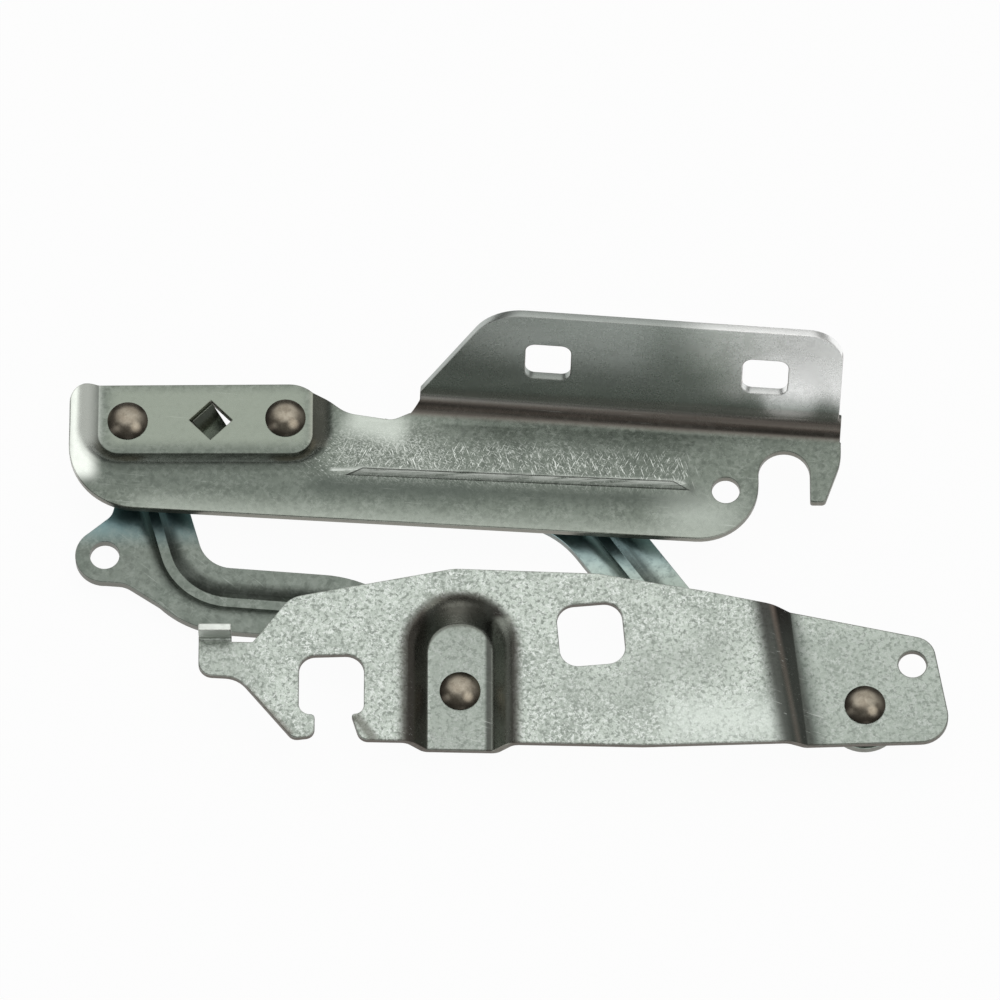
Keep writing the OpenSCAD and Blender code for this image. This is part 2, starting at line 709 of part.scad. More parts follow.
lower_bracket();
upper_bracket();
gooseneck_link();
long_link();
lower_left_rivet();
lower_right_rivet();
upper_left_rivet();
upper_right_rivet();
lower_left_bush();
lower_right_bush();
upper_left_bush();
upper_right_bush();
lower_left_spacer();
lower_right_spacer();
upper_left_spacer();
upper_right_spacer();
lower_left_washer();
lower_right_washer();
upper_left_washer();
upper_right_washer();
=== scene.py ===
import math

import bmesh
import bpy
from mathutils import Matrix, Vector


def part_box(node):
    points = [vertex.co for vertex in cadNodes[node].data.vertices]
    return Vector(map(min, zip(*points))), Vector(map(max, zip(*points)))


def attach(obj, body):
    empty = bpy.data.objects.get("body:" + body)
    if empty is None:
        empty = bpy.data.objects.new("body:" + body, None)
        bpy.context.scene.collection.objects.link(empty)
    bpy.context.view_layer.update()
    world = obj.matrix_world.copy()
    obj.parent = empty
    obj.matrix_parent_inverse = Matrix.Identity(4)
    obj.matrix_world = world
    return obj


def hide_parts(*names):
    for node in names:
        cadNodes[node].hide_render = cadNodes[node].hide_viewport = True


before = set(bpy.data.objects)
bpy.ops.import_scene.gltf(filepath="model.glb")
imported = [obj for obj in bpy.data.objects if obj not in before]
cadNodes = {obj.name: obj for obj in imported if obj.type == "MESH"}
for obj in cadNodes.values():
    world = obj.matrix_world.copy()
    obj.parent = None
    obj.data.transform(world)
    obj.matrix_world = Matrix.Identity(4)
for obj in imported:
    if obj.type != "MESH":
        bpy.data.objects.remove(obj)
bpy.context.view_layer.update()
scene = bpy.context.scene
scene.view_settings.view_transform = "Standard"
print("frame loaded,", len(cadNodes), "nodes")


def mm(*values):
    return tuple(v * 0.001 for v in values)


# small helpers for node trees

def addNode(tree, kind, **settings):
    node = tree.nodes.new(kind)
    for key, value in settings.items():
        setattr(node, key, value)
    return node


def wire(tree, source, target):
    tree.links.new(source, target)


def plug(tree, target, value):
    # a socket gets wired, anything else is a plain value
    if isinstance(value, bpy.types.NodeSocket):
        tree.links.new(value, target)
    else:
        target.default_value = value


def mathNode(tree, operation, a, b=0.0, clamp=False):
    node = addNode(tree, "ShaderNodeMath", operation=operation, use_clamp=clamp)
    plug(tree, node.inputs[0], a)
    plug(tree, node.inputs[1], b)
    return node.outputs[0]


def rangeNode(tree, value, low, high, newLow=0.0, newHigh=1.0):
    node = addNode(tree, "ShaderNodeMapRange", interpolation_type="SMOOTHSTEP")
    plug(tree, node.inputs["Value"], value)
    node.inputs["From Min"].default_value = low
    node.inputs["From Max"].default_value = high
    node.inputs["To Min"].default_value = newLow
    node.inputs["To Max"].default_value = newHigh
    return node.outputs["Result"]


def mixColour(tree, factor, a, b):
    node = addNode(tree, "ShaderNodeMix", data_type="RGBA", blend_type="MIX")
    plug(tree, node.inputs[0], factor)
    plug(tree, node.inputs[6], a)
    plug(tree, node.inputs[7], b)
    return node.outputs[2]


def layColour(tree, mask, amount, under, over):
    return mixColour(tree, mathNode(tree, "MULTIPLY", mask, amount), under, over)


def noiseNode(tree, vector, scale, detail=3.0, rough=0.55, warp=0.0):
    node = addNode(tree, "ShaderNodeTexNoise")
    plug(tree, node.inputs["Vector"], vector)
    plug(tree, node.inputs["Scale"], scale)
    node.inputs["Detail"].default_value = detail
    node.inputs["Roughness"].default_value = rough
    node.inputs["Distortion"].default_value = warp
    return node.outputs["Fac"]


def shaderGroup(name, inputs, outputs):
    group = bpy.data.node_groups.new(name, "ShaderNodeTree")
    for label, kind, value in inputs:
        socket = group.interface.new_socket(name=label, in_out="INPUT", socket_type=kind)
        if value is not None:
            socket.default_value = value
    for label, kind in outputs:
        group.interface.new_socket(name=label, in_out="OUTPUT", socket_type=kind)
    return group, addNode(group, "NodeGroupInput"), addNode(group, "NodeGroupOutput")


# zinc coat: broad clouds, crystal flecks, white bloom in clumps and dull blotches

def makeZincGroup():
    group, gin, gout = shaderGroup(
        "zincBloom",
        [("Vector", "NodeSocketVector", None), ("Cloud Scale", "NodeSocketFloat", 55.0),
         ("Fleck Scale", "NodeSocketFloat", 900.0), ("Bloom Scale", "NodeSocketFloat", 450.0)],
        [("Cloud", "NodeSocketFloat"), ("Fleck", "NodeSocketFloat"), ("Bloom", "NodeSocketFloat"),
         ("Dull", "NodeSocketFloat"), ("Height", "NodeSocketFloat")])
    vector = gin.outputs["Vector"]
    cloud = noiseNode(group, vector, gin.outputs["Cloud Scale"], 5.0, 0.6, 0.4)
    cell = addNode(group, "ShaderNodeTexVoronoi", feature="F1")
    wire(group, vector, cell.inputs["Vector"])
    wire(group, gin.outputs["Fleck Scale"], cell.inputs["Scale"])
    grey = addNode(group, "ShaderNodeSeparateColor")
    wire(group, cell.outputs["Color"], grey.inputs[0])
    bloomScale = gin.outputs["Bloom Scale"]
    fine = noiseNode(group, vector, bloomScale, 5.0, 0.7, 0.6)
    clump = noiseNode(group, vector, mathNode(group, "MULTIPLY", bloomScale, 0.22), 3.0, 0.6)
    # moved aside, or two noises of nearly one scale make rings round the origin
    apart = addNode(group, "ShaderNodeVectorMath", operation="ADD")
    wire(group, vector, apart.inputs[0])
    apart.inputs[1].default_value = (0.43, 0.71, 0.29)
    blotchScale = mathNode(group, "MULTIPLY", bloomScale, 0.85)
    blotch = noiseNode(group, apart.outputs[0], blotchScale, 5.0, 0.7, 0.3)
    bloom = rangeNode(group, fine, 0.46, 0.58)
    wire(group, rangeNode(group, cloud, 0.3, 0.7), gout.inputs["Cloud"])
    wire(group, grey.outputs[0], gout.inputs["Fleck"])
    clumped = rangeNode(group, clump, 0.36, 0.62, 0.3, 1.0)
    wire(group, mathNode(group, "MULTIPLY", bloom, clumped), gout.inputs["Bloom"])
    wire(group, rangeNode(group, blotch, 0.38, 0.52, 1.0, 0.0), gout.inputs["Dull"])
    wire(group, mathNode(group, "ADD", mathNode(group, "MULTIPLY", fine, 0.6),
                         mathNode(group, "MULTIPLY", grey.outputs[0], 0.25)), gout.inputs["Height"])
    return group


# bare rolled edge: where the bevelled normal leaves the true one

def makeEdgeGroup():
    group, gin, gout = shaderGroup(
        "rolledEdge",
        [("Vector", "NodeSocketVector", None), ("Radius", "NodeSocketFloat", 0.0006),
         ("Break Up", "NodeSocketFloat", 500.0)],
        [("Edge", "NodeSocketFloat")])
    bevel = addNode(group, "ShaderNodeBevel", samples=6)
    wire(group, gin.outputs["Radius"], bevel.inputs["Radius"])
    geometry = addNode(group, "ShaderNodeNewGeometry")
    dot = addNode(group, "ShaderNodeVectorMath", operation="DOT_PRODUCT")
    wire(group, bevel.outputs["Normal"], dot.inputs[0])
    wire(group, geometry.outputs["Normal"], dot.inputs[1])
    turned = mathNode(group, "SUBTRACT", 1.0, dot.outputs["Value"], True)
    patchy = noiseNode(group, gin.outputs["Vector"], gin.outputs["Break Up"], 3.0, 0.6)
    strong = rangeNode(group, turned, 0.01, 0.14)
    wire(group, mathNode(group, "MULTIPLY", strong, rangeNode(group, patchy, 0.25, 0.6, 0.45, 1.0)),
         gout.inputs["Edge"])
    return group


# handling scratches: noise drawn out along one direction

def makeScratchGroup():
    group, gin, gout = shaderGroup(
        "handlingScratch",
        [("Vector", "NodeSocketVector", None), ("Turn", "NodeSocketFloat", 0.0),
         ("Length", "NodeSocketFloat", 40.0), ("Fineness", "NodeSocketFloat", 1600.0)],
        [("Scratch", "NodeSocketFloat"), ("Brush", "NodeSocketFloat")])
    turn = addNode(group, "ShaderNodeVectorRotate", rotation_type="Z_AXIS")
    wire(group, gin.outputs["Vector"], turn.inputs["Vector"])
    wire(group, gin.outputs["Turn"], turn.inputs["Angle"])
    stretch = addNode(group, "ShaderNodeVectorMath", operation="MULTIPLY")
    wire(group, turn.outputs[0], stretch.inputs[0])
    size = addNode(group, "ShaderNodeCombineXYZ")
    wire(group, gin.outputs["Length"], size.inputs[0])
    wire(group, gin.outputs["Fineness"], size.inputs[1])
    wire(group, gin.outputs["Fineness"], size.inputs[2])
    wire(group, size.outputs[0], stretch.inputs[1])
    drawn = noiseNode(group, stretch.outputs[0], 1.0, 3.0, 0.6)
    gate = noiseNode(group, gin.outputs["Vector"], 70.0, 2.0)
    wire(group, mathNode(group, "MULTIPLY", rangeNode(group, drawn, 0.62, 0.74),
                         rangeNode(group, gate, 0.42, 0.62)), gout.inputs["Scratch"])
    wire(group, drawn, gout.inputs["Brush"])
    return group


zincGroup = makeZincGroup()
edgeGroup = makeEdgeGroup()
scratchGroup = makeScratchGroup()
print("shader groups made")


def placeGroup(tree, group, vector, **values):
    node = addNode(tree, "ShaderNodeGroup", node_tree=group)
    wire(tree, vector, node.inputs["Vector"])
    for label, value in values.items():
        plug(tree, node.inputs[label.replace("_", " ")], value)
    return node


def startMaterial(name):
    material = bpy.data.materials.new(name)
    material.use_nodes = True
    tree = material.node_tree
    shader = tree.nodes["Principled BSDF"]
    coords = addNode(tree, "ShaderNodeTexCoord").outputs["Object"]
    return material, tree, shader, coords


def boxMask(tree, coords, centre, half, soft, turn):
    # soft-edged box in the XY plane, in metres
    place = addNode(tree, "ShaderNodeMapping", vector_type="TEXTURE")
    wire(tree, coords, place.inputs["Vector"])
    place.inputs["Location"].default_value = (centre[0], centre[1], 0.0)
    place.inputs["Rotation"].default_value = (0.0, 0.0, turn)
    split = addNode(tree, "ShaderNodeSeparateXYZ")
    wire(tree, place.outputs[0], split.inputs[0])
    sides = []
    for axis in (0, 1):
        away = mathNode(tree, "ABSOLUTE", split.outputs[axis])
        sides.append(rangeNode(tree, away, half[axis] - soft, half[axis] + soft, 1.0, 0.0))
    return mathNode(tree, "MULTIPLY", *sides)


def facingMask(tree, low, high):
    # 1 where the face stands steeper than low, 0 where it lies flatter than high
    geometry = addNode(tree, "ShaderNodeNewGeometry")
    split = addNode(tree, "ShaderNodeSeparateXYZ")
    wire(tree, geometry.outputs["True Normal"], split.inputs[0])
    return rangeNode(tree, mathNode(tree, "ABSOLUTE", split.outputs[2]), low, high, 1.0, 0.0)


def depthMask(tree, coords, start, end):
    # 0 at one height, 1 at the other, in mm
    split = addNode(tree, "ShaderNodeSeparateXYZ")
    wire(tree, coords, split.inputs[0])
    return rangeNode(tree, split.outputs[2], *mm(start, end))


def archMask(tree, coords, centre, inner, outer):
    # band between two distances from a vertical line that ends at the centre, in mm
    split = addNode(tree, "ShaderNodeSeparateXYZ")
    wire(tree, coords, split.inputs[0])
    across = mathNode(tree, "SUBTRACT", split.outputs[0], centre[0] * 0.001)
    along = mathNode(tree, "MAXIMUM", mathNode(tree, "SUBTRACT", split.outputs[1], centre[1] * 0.001), 0.0)
    squares = [mathNode(tree, "POWER", side, 2.0) for side in (across, along)]
    away = mathNode(tree, "SQRT", mathNode(tree, "ADD", *squares))
    start = rangeNode(tree, away, *mm(*inner))
    return mathNode(tree, "MULTIPLY", start, rangeNode(tree, away, *mm(*outer), 1.0, 0.0))


def patchMask(tree, coords, patch):
    # a patch is given in mm
    return boxMask(tree, coords, mm(*patch["centre"]), mm(*patch["half"]), patch["soft"] * 0.001, patch["turn"])


def paintPatch(tree, coords, colour, paintedPatch):
    # a soft patch of painted light and shade, kept to a range of heights where one is given
    near = patchMask(tree, coords, paintedPatch)
    for limit in ("rise", "fall"):
        if limit in paintedPatch:
            near = mathNode(tree, "MULTIPLY", near, depthMask(tree, coords, *paintedPatch[limit]))
    return layColour(tree, near, paintedPatch["amount"], colour, paintedPatch["colour"])


def addBump(tree, shader, height, strength, distance):
    bump = addNode(tree, "ShaderNodeBump")
    bump.inputs["Strength"].default_value = strength
    bump.inputs["Distance"].default_value = distance
    wire(tree, height, bump.inputs["Height"])
    wire(tree, bump.outputs[0], shader.inputs["Normal"])


# zinc-plated sheet, what all four have in common

zincShared = {"shearFacing": (0.2, 0.3), "cloudRough": 0.06, "bloomRough": 0.15, "shearRough": 0.2,
              "brushHeight": 0.5, "bumpDistance": 0.0001}


def zincMaterial(name, look):
    material, tree, shader, coords = startMaterial(name)
    zinc = placeGroup(tree, zincGroup, coords, Cloud_Scale=look["cloudScale"],
                      Fleck_Scale=look["fleckScale"], Bloom_Scale=look["bloomScale"])
    edge = placeGroup(tree, edgeGroup, coords, Radius=look["edgeRadius"])
    scratch = placeGroup(tree, scratchGroup, coords, Turn=look["scratchTurn"],
                         Length=look["scratchLength"], Fineness=look["scratchFine"])
    colour = mixColour(tree, zinc.outputs["Cloud"], look["dark"], look["light"])
    colour = layColour(tree, zinc.outputs["Fleck"], look["fleckAmount"], colour, look["fleck"])
    bloom = mathNode(tree, "MULTIPLY", zinc.outputs["Bloom"], look["bloomAmount"])
    colour = mixColour(tree, bloom, colour, look["bloom"])
    colour = layColour(tree, zinc.outputs["Dull"], look["dullAmount"], colour, look["dull"])
    # painted light: faces that stand higher than the sheet, such as the flange and its bend, are painted lighter
    if look["raisedPaintedLight"]:
        raisedPaintedLight = look["raisedPaintedLight"]
        paintedLightHeight = depthMask(tree, coords, raisedPaintedLight["from"], raisedPaintedLight["to"])
        colour = layColour(tree, paintedLightHeight, raisedPaintedLight["amount"], colour, raisedPaintedLight["colour"])
    # painted reflection: a bluish band painted bright on the links near the upper bracket's edge, lifting the shade
    # there
    if look["paintedBlueReflection"]:
        paintedBlueReflection = look["paintedBlueReflection"]
        place = addNode(tree, "ShaderNodeSeparateXYZ")
        wire(tree, coords, place.inputs[0])
        near = rangeNode(tree, place.outputs[1], *mm(paintedBlueReflection["from"], paintedBlueReflection["to"]))
        past = rangeNode(tree, place.outputs[1], *mm(paintedBlueReflection["fade"], paintedBlueReflection["gone"]), 1.0, 0.0)
        near = mathNode(tree, "MULTIPLY", near, past)
        colour = layColour(tree, near, paintedBlueReflection["amount"], colour, paintedBlueReflection["colour"])
    # painted shade: steep faces sunk below the sheet, such as the recess walls, are darkened
    wall = mathNode(tree, "MULTIPLY", facingMask(tree, *look["wallFacing"]),
                    depthMask(tree, coords, *look["wallDepth"]))
    colour = layColour(tree, wall, look["wallAmount"], colour, look["wall"])
    # painted shade: a dark arch round the lower bracket's recess
    if look["archShade"]:
        archShade = look["archShade"]
        band = archMask(tree, coords, archShade["centre"], archShade["inner"], archShade["outer"])
        colour = layColour(tree, band, archShade["amount"], colour, archShade["colour"])
    # painted light and shade in soft patches
    for paintedPatch in look["paintedLightShade"]:
        colour = paintPatch(tree, coords, colour, paintedPatch)
    marks = mathNode(tree, "MULTIPLY", scratch.outputs["Scratch"], look["scratchAmount"])
    for patch in look["scuffs"]:
        near = patchMask(tree, coords, patch)
        own = placeGroup(tree, scratchGroup, coords, Turn=patch["scratchTurn"],
                         Length=patch["scratchLength"], Fineness=patch["scratchFine"])
        scuffed = mathNode(tree, "MULTIPLY", near, rangeNode(tree, own.outputs["Brush"], *patch["cut"]))
        marks = mathNode(tree, "MAXIMUM", marks, mathNode(tree, "MULTIPLY", scuffed, patch["amount"]))
    colour = mixColour(tree, marks, colour, look["scratch"])
    # cut edges stand upright
    sheared = mathNode(tree, "MULTIPLY", facingMask(tree, *zincShared["shearFacing"]), look["shearAmount"])
    colour = mixColour(tree, sheared, colour, look["shear"])
    # painted light laid over the cut edges
    for paintedPatch in look["edgePaintedLight"]:
        colour = paintPatch(tree, coords, colour, paintedPatch)
    colour = layColour(tree, edge.outputs["Edge"], look["edgeAmount"], colour, look["edge"])
    wire(tree, colour, shader.inputs["Base Color"])
    rough = look["rough"]
    for mask, share in ((zinc.outputs["Cloud"], zincShared["cloudRough"]), (bloom, zincShared["bloomRough"]),
                        (sheared, zincShared["shearRough"])):
        rough = mathNode(tree, "ADD", rough, mathNode(tree, "MULTIPLY", mask, share))
    rough = mathNode(tree, "SUBTRACT", rough, mathNode(tree, "MULTIPLY", wall, look["wallPolish"]), True)
    wire(tree, rough, shader.inputs["Roughness"])
    shader.inputs["Metallic"].default_value = 1.0
    brushed = mathNode(tree, "MULTIPLY", scratch.outputs["Brush"], zincShared["brushHeight"])
    height = mathNode(tree, "ADD", zinc.outputs["Height"], brushed)
    addBump(tree, shader, height, look["bumpStrength"], zincShared["bumpDistance"])
    return material


# lower bracket: pale mottled zinc, a dark arch of painted shade round the recess, painted shade at the step and on
# the recess walls, painted light and shade in soft patches

lowerLook = {
    "dark": (0.30, 0.338, 0.30, 1), "light": (0.60, 0.665, 0.60, 1), "fleck": (0.66, 0.725, 0.66, 1),
    "bloom": (0.95, 1.0, 0.96, 1), "dull": (0.22, 0.25, 0.22, 1), "wall": (0.06, 0.057, 0.048, 1),
    "scratch": (0.95, 0.98, 0.94, 1), "edge": (0.10, 0.083, 0.07, 1), "shear": (0.15, 0.13, 0.11, 1),
    "cloudScale": 60.0, "fleckScale": 900.0, "bloomScale": 900.0, "fleckAmount": 0.35, "bloomAmount": 0.95,
    "dullAmount": 0.8, "edgeRadius": 0.0009, "edgeAmount": 0.9, "shearAmount": 0.85,
    "scratchTurn": 0.35, "scratchLength": 60.0, "scratchFine": 1800.0, "scratchAmount": 0.35,
    "wallFacing": (0.9, 0.997), "wallDepth": (0.02, -0.5), "wallAmount": 0.86, "wallPolish": 0.1,
    "rough": 0.34, "bumpStrength": 0.6, "paintedBlueReflection": None, "raisedPaintedLight": None, "scuffs": [],
    "archShade": {"centre": (-41, -4.5), "inner": (9.8, 10.6), "outer": (17.0, 20.4), "amount": 0.85,
             "colour": (0.075, 0.068, 0.059, 1)},
    # painted light on the face of the small tab at the top left
    "edgePaintedLight": [
        {"centre": (-117.6, -1), "half": (5.6, 4), "soft": 0.5, "turn": 0.0,
         "amount": 0.95, "colour": (0.80, 0.84, 0.79, 1),
         "rise": (0.3, 1.5)},
    ],
    # painted light and shade: broad lighter and darker areas over the plate, a darker recess floor, a lighter right
    # wall with a dark foot, a dark top wall, a dark step at the right with a lighter streak, and dark lines along
    # the hooks' lower edges
    "paintedLightShade": [
        {"centre": (95, -18), "half": (26, 30), "soft": 4, "turn": 0.0,
         "amount": 0.3, "colour": (0.36, 0.41, 0.36, 1)},
        {"centre": (-41, -14), "half": (10, 26), "soft": 2, "turn": 0.0,
         "amount": 0.55, "colour": (0.27, 0.305, 0.27, 1)},
        {"centre": (-118, -8), "half": (12, 12), "soft": 8, "turn": 0.0,
         "amount": 0.35, "colour": (0.34, 0.38, 0.34, 1)},
        {"centre": (45, -29), "half": (22, 7), "soft": 7, "turn": 0.0,
         "amount": 0.45, "colour": (0.85, 0.92, 0.86, 1)},
        {"centre": (28, -9), "half": (18, 7), "soft": 7, "turn": 0.2,
         "amount": 0.35, "colour": (0.34, 0.38, 0.34, 1)},
        {"centre": (4, -19), "half": (15, 5), "soft": 6, "turn": -0.1,
         "amount": 0.3, "colour": (0.36, 0.40, 0.36, 1)},
        {"centre": (58.8, -13), "half": (4.0, 34), "soft": 2.8, "turn": 0.168,
         "amount": 0.96, "colour": (0.05, 0.05, 0.045, 1)},
        {"centre": (66.6, -15), "half": (2.0, 34), "soft": 4, "turn": 0.168,
         "amount": 0.95, "colour": (0.06, 0.072, 0.062, 1)},
        {"centre": (63.8, -14), "half": (2.4, 34), "soft": 1.2, "turn": 0.168,
         "amount": 0.95, "colour": (0.024, 0.021, 0.019, 1)},
        {"centre": (60.9, -14), "half": (0.7, 34), "soft": 0.8, "turn": 0.168,
         "amount": 0.6, "colour": (0.24, 0.19, 0.16, 1)},
        {"centre": (-28.6, -20), "half": (3.2, 26), "soft": 1.2, "turn": 0.0,
         "amount": 0.9, "colour": (0.46, 0.49, 0.43, 1)},
        {"centre": (-31.9, -20), "half": (1.1, 26), "soft": 0.7, "turn": 0.0,
         "amount": 0.85, "colour": (0.05, 0.052, 0.046, 1)},
        {"centre": (-41, 9.5), "half": (9, 3), "soft": 4, "turn": 0.0,
         "amount": 0.5, "colour": (0.17, 0.15, 0.125, 1)},
        {"centre": (-101, -26.2), "half": (11, 0.9), "soft": 0.9, "turn": -0.83,
         "amount": 0.7, "colour": (0.16, 0.14, 0.12, 1)},
        {"centre": (-70.7, -31.8), "half": (5.5, 1.5), "soft": 1.0, "turn": -0.93,
         "amount": 0.7, "colour": (0.15, 0.15, 0.125, 1)},
        {"centre": (90, -20), "half": (32, 24), "soft": 8, "turn": 0.0,
         "amount": 0.25, "colour": (0.26, 0.30, 0.265, 1)},
    ],
}

# upper bracket: darker and smoother, scuffed above the ridge, with painted glare towards the flange's right end and
# painted light and shade in soft patches

upperLook = {
    "dark": (0.125, 0.145, 0.122, 1), "light": (0.175, 0.20, 0.172, 1), "fleck": (0.23, 0.26, 0.225, 1),
    "bloom": (0.34, 0.375, 0.335, 1), "dull": (0.09, 0.105, 0.09, 1), "wall": (0.06, 0.064, 0.053, 1),
    "scratch": (0.80, 0.84, 0.79, 1), "edge": (0.12, 0.10, 0.085, 1), "shear": (0.20, 0.18, 0.15, 1),
    "cloudScale": 45.0, "fleckScale": 900.0, "bloomScale": 560.0, "fleckAmount": 0.35, "bloomAmount": 0.42,
    "dullAmount": 0.5, "edgeRadius": 0.0008, "edgeAmount": 0.6, "shearAmount": 0.7,
    "scratchTurn": 0.1, "scratchLength": 30.0, "scratchFine": 1500.0, "scratchAmount": 0.25,
    "wallFacing": (0.85, 0.985), "wallDepth": (-2.2, -4.5), "wallAmount": 0.0, "wallPolish": 0.05,
    "rough": 0.22, "bumpStrength": 0.2, "paintedBlueReflection": None,
    "archShade": None, "edgePaintedLight": [],
    # painted light on the flange and bend, which stand higher
    "raisedPaintedLight": {"from": -1.0, "to": 7.0, "amount": 0.9, "colour": (0.37, 0.40, 0.375, 1)},
    # painted light and shade: dark shade under the ridge, under the pad and in the ridge's end; a dark band along
    # the flange's bend with thin painted highlights; painted light on the flange's upper part and painted glare at
    # its right end; lighter patches near the flange's left end; painted light at the left end, below the ridge's
    # right end and along the lower edge
    "paintedLightShade": [
        {"centre": (-28, 49.5), "half": (60, 3.0), "soft": 4, "turn": -0.047,
         "amount": 0.3, "colour": (0.06, 0.07, 0.06, 1)},
        {"centre": (-120, 58.6), "half": (36, 1.5), "soft": 4.5, "turn": 0.0,
         "amount": 0.65, "colour": (0.065, 0.077, 0.066, 1)},
        {"centre": (32, 50.6), "half": (1.2, 1.8), "soft": 1.4, "turn": 0.0,
         "amount": 0.7, "colour": (0.035, 0.04, 0.034, 1)},
        {"centre": (-26, 49.6), "half": (62, 2), "soft": 4, "turn": -0.05,
         "amount": 0.7, "colour": (0.07, 0.083, 0.072, 1)},
        {"centre": (-100, 52.5), "half": (64, 4), "soft": 5, "turn": -0.04,
         "amount": 0.35, "colour": (0.085, 0.10, 0.088, 1)},
        {"centre": (-86.0, 77), "half": (2.6, 11), "soft": 1.4, "turn": 0.0,
         "amount": 0.85, "colour": (0.40, 0.41, 0.35, 1)},
        {"centre": (12.5, 75), "half": (72, 3.2), "soft": 1.2, "turn": -0.0687,
         "amount": 0.75, "colour": (0.15, 0.127, 0.112, 1),
         "fall": (6.0, 4.0)},
        {"centre": (12.5, 76.0), "half": (72, 0.5), "soft": 0.7, "turn": -0.0687,
         "amount": 0.65, "colour": (0.075, 0.062, 0.055, 1),
         "fall": (6.0, 4.0)},
        {"centre": (12.5, 74.7), "half": (72, 0.4), "soft": 0.6, "turn": -0.0687,
         "amount": 0.7, "colour": (0.26, 0.22, 0.19, 1),
         "fall": (6.0, 4.0)},
        {"centre": (12.5, 73.2), "half": (72, 0.5), "soft": 0.8, "turn": -0.0687,
         "amount": 0.65, "colour": (0.05, 0.043, 0.038, 1),
         "fall": (6.0, 4.0)},
        {"centre": (12.5, 77.8), "half": (72, 0.7), "soft": 0.8, "turn": -0.0687,
         "amount": 0.75, "colour": (0.40, 0.40, 0.38, 1),
         "fall": (6.0, 4.0)},
        {"centre": (10, 80), "half": (70, 30), "soft": 5, "turn": 0.0,
         "amount": 0.8, "colour": (0.47, 0.505, 0.48, 1),
         "rise": (17, 32)},
        {"centre": (58, 88), "half": (26, 30), "soft": 10, "turn": 0.0,
         "amount": 0.8, "colour": (0.96, 0.98, 0.96, 1),
         "rise": (14, 25)},
        {"centre": (70, 78), "half": (27, 30), "soft": 14, "turn": 0.0,
         "amount": 1.0, "colour": (0.99, 1.0, 0.99, 1),
         "rise": (4, 14)},
        {"centre": (-121, 78), "half": (31, 10), "soft": 3, "turn": 0.0,
         "amount": 0.75, "colour": (0.30, 0.335, 0.28, 1)},
        {"centre": (-161, 77), "half": (4.5, 22), "soft": 3, "turn": 0.0,
         "amount": 0.9, "colour": (0.88, 0.92, 0.86, 1)},
        {"centre": (-67.5, 73), "half": (9.5, 5), "soft": 4, "turn": -0.3,
         "amount": 0.75, "colour": (0.62, 0.67, 0.61, 1)},
        {"centre": (-121, 66.5), "half": (31, 1.2), "soft": 3, "turn": 0.0,
         "amount": 0.4, "colour": (0.10, 0.115, 0.10, 1)},
        {"centre": (35, 41), "half": (12, 6), "soft": 10, "turn": -0.06,
         "amount": 0.5, "colour": (0.58, 0.63, 0.57, 1)},
        {"centre": (-40, 37.4), "half": (105, 2.2), "soft": 7, "turn": -0.067,
         "amount": 0.56, "colour": (0.54, 0.585, 0.52, 1)},
    ],
    "scuffs": [
        {"centre": (-20, 59), "half": (52, 5), "soft": 4, "turn": -0.05, "scratchTurn": 1.25,
         "scratchLength": 130.0, "scratchFine": 2400.0, "cut": (0.585, 0.66), "amount": 0.9},
        {"centre": (-25, 60), "half": (55, 6), "soft": 4, "turn": -0.05, "scratchTurn": 2.05,
         "scratchLength": 150.0, "scratchFine": 2600.0, "cut": (0.595, 0.67), "amount": 0.8},
        {"centre": (-40, 61), "half": (50, 7), "soft": 5, "turn": -0.05, "scratchTurn": 0.6,
         "scratchLength": 700.0, "scratchFine": 2400.0, "cut": (0.55, 0.66), "amount": 0.5},
        {"centre": (-64, 64), "half": (16, 8), "soft": 6, "turn": -0.05, "scratchTurn": 0.0,
         "scratchLength": 1500.0, "scratchFine": 1900.0, "cut": (0.48, 0.66), "amount": 0.45},
        # this one is a painted highlight along the ridge crest, broken up like the scratches
        {"centre": (-26, 54.8), "half": (56, 0.7), "soft": 0.9, "turn": -0.047, "scratchTurn": -0.047,
         "scratchLength": 60.0, "scratchFine": 1400.0, "cut": (0.3, 0.6), "amount": 0.6},
    ],
}

# links: dull grey with a painted bluish reflection where they go under the upper bracket, heights and places in mm

linkLook = {
    "dark": (0.135, 0.16, 0.137, 1), "light": (0.20, 0.228, 0.20, 1), "fleck": (0.26, 0.29, 0.26, 1),
    "bloom": (0.36, 0.40, 0.36, 1), "dull": (0.09, 0.105, 0.09, 1), "wall": (0.05, 0.055, 0.048, 1),
    "scratch": (0.60, 0.65, 0.60, 1), "edge": (0.30, 0.31, 0.28, 1), "shear": (0.20, 0.19, 0.165, 1),
    "cloudScale": 70.0, "fleckScale": 700.0, "bloomScale": 420.0, "fleckAmount": 0.3, "bloomAmount": 0.4,
    "dullAmount": 0.4, "edgeRadius": 0.0007, "edgeAmount": 0.5, "shearAmount": 0.7,
    "scratchTurn": 0.7, "scratchLength": 50.0, "scratchFine": 1500.0, "scratchAmount": 0.3,
    "wallFacing": (0.8, 0.98), "wallDepth": (-10.4, -11.4), "wallAmount": 0.45, "wallPolish": 0.05,
    "rough": 0.3, "bumpStrength": 0.25, "paintedLightShade": [], "edgePaintedLight": [],
    "scuffs": [], "raisedPaintedLight": None, "archShade": None,
    "paintedBlueReflection": {"from": 33, "to": 50, "fade": 46, "gone": 80, "amount": 0.85, "colour": (0.24, 0.44, 0.49, 1)},
}
# the long link is the gooseneck's zinc painted lighter, lifting the shade the brackets cast over it
longLitLook = dict(linkLook, light=(0.52, 0.60, 0.54, 1), dark=(0.36, 0.43, 0.38, 1),
                paintedBlueReflection={"from": 20, "to": 43, "fade": 38, "gone": 76, "amount": 0.85, "colour": (0.36, 0.57, 0.62, 1)})

